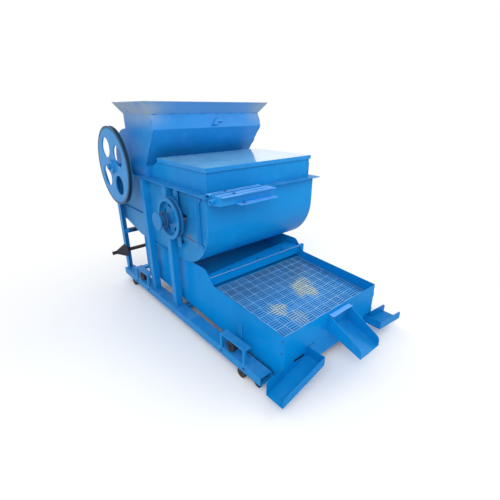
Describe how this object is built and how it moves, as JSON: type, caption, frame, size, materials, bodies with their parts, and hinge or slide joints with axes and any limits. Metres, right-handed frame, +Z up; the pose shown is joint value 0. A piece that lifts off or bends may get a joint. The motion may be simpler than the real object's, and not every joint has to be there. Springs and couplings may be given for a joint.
{
  "type": "peanut sheller",
  "caption": "Power driven peanut sheller: flared hopper over a beater drum and slotted grate, air fan with lidded cover, and a sieve tray that shakes on rollers in an open base frame",
  "frame": {"origin": "on the floor under the middle of the machine's overall length and width", "axes": "+X to the machine's right, away from the pulleys; +Y from the chutes to the drum; +Z up"},
  "size_m": [1.28, 2.193, 1.5],
  "materials": {
    "blue_paint": "glossy mid blue enamel, brushed on, worn at edges",
    "worn_steel": "bare steel, dull with grease and wear",
    "dark_steel": "dark unpainted steel",
    "cast_iron": "raw casting"
  },
  "bodies": {
    "frame": {"base_rails": "blue_paint", "bearing_bridges": "blue_paint", "concave": "worn_steel", "cover_box": "blue_paint", "cross_members": "blue_paint", "drum_bearings": "blue_paint", "drum_cover": "blue_paint", "eccentric_bearings": "dark_steel", "fan_bearings": "blue_paint", "fan_casing": "blue_paint", "feet": "cast_iron", "frame_bolts": "worn_steel", "hopper": "blue_paint", "hopper_rim": "blue_paint", "left_side_plate": "blue_paint", "lid_hinges": "blue_paint", "motor_front_rail": "blue_paint", "motor_gussets": "blue_paint", "motor_low_rail": "blue_paint", "motor_rear_rail": "blue_paint", "posts": "blue_paint", "rear_legs": "blue_paint", "rear_plates": "blue_paint", "right_side_plate": "blue_paint", "roller_guides": "blue_paint", "shutter_guides": "blue_paint", "side_ledges": "blue_paint", "top_angles": "blue_paint"},
    "tray": {"centre_chute": "blue_paint", "connecting_straps": "dark_steel", "deflector": "blue_paint", "deflector_bolts": "worn_steel", "feed_deck": "blue_paint", "left_trough": "blue_paint", "right_trough": "blue_paint", "roller_brackets": "blue_paint", "sieve": "blue_paint", "sieve_frame": "blue_paint", "tray_front_wall": "blue_paint", "tray_left_wall": "blue_paint", "tray_pan": "blue_paint", "tray_rear_wall": "blue_paint", "tray_right_wall": "blue_paint"},
    "drum": {"drum_shaft": "worn_steel", "rotor_spiders": "worn_steel", "beater_bars": "worn_steel", "drum_pulley": "blue_paint"},
    "fan": {"fan_shaft": "worn_steel", "fan_spiders": "blue_paint", "fan_blades": "blue_paint", "fan_pulley": "blue_paint", "step_pulley": "worn_steel"},
    "lid": {"cover_lid": "blue_paint"},
    "left_air_shutter": {"left_shutter": "blue_paint"},
    "right_air_shutter": {"right_shutter": "blue_paint"},
    "eccentric": {"eccentric_shaft": "worn_steel"},
    "roller_front_left": {"front_left_roller": "cast_iron"},
    "roller_front_right": {"front_right_roller": "cast_iron"},
    "roller_rear_left": {"rear_left_roller": "cast_iron"},
    "roller_rear_right": {"rear_right_roller": "cast_iron"}
  },
  "joints": [
    {"name": "drum_spin", "type": "hinge", "parent": "frame", "child": "drum", "pos_m": [0, 0.7955, 1.06], "axis": [1, 0, 0], "continuous": true},
    {"name": "fan_spin", "type": "hinge", "parent": "frame", "child": "fan", "pos_m": [0, 0.0725, 0.815], "axis": [1, 0, 0], "continuous": true},
    {"name": "eccentric_spin", "type": "hinge", "parent": "frame", "child": "eccentric", "pos_m": [0, 1.0405, 0.28], "axis": [1, 0, 0], "continuous": true},
    {"name": "tray_shake", "type": "slide", "parent": "frame", "child": "tray", "axis": [0, 1, 0], "range_m": [-0.008, 0.008]},
    {"name": "left_shutter_slide", "type": "slide", "parent": "frame", "child": "left_air_shutter", "axis": [0, 1, 0], "range_m": [-0.06, 0.06]},
    {"name": "right_shutter_slide", "type": "slide", "parent": "frame", "child": "right_air_shutter", "axis": [0, 1, 0], "range_m": [-0.06, 0.06]},
    {"name": "lid_hinge", "type": "hinge", "parent": "frame", "child": "lid", "pos_m": [0, 0.3695, 1.144], "axis": [-1, 0, 0], "range_deg": [0, 70]},
    {"name": "front_left_roller_spin", "type": "hinge", "parent": "tray", "child": "roller_front_left", "pos_m": [-0.511, -0.4995, 0.1403], "axis": [1, 0, 0], "range_deg": [-14, 14]},
    {"name": "front_right_roller_spin", "type": "hinge", "parent": "tray", "child": "roller_front_right", "pos_m": [0.511, -0.4995, 0.1403], "axis": [1, 0, 0], "range_deg": [-14, 14]},
    {"name": "rear_left_roller_spin", "type": "hinge", "parent": "tray", "child": "roller_rear_left", "pos_m": [-0.511, 0.7255, 0.1403], "axis": [1, 0, 0], "range_deg": [-14, 14]},
    {"name": "rear_right_roller_spin", "type": "hinge", "parent": "tray", "child": "roller_rear_right", "pos_m": [0.511, 0.7255, 0.1403], "axis": [1, 0, 0], "range_deg": [-14, 14]}
  ],
  "couplings": [
    {"joint": "front_left_roller_spin", "follows": "tray_shake", "rad_per_m": -28.571},
    {"joint": "front_right_roller_spin", "follows": "tray_shake", "rad_per_m": -28.571},
    {"joint": "rear_left_roller_spin", "follows": "tray_shake", "rad_per_m": -28.571},
    {"joint": "rear_right_roller_spin", "follows": "tray_shake", "rad_per_m": -28.571}
  ]
}
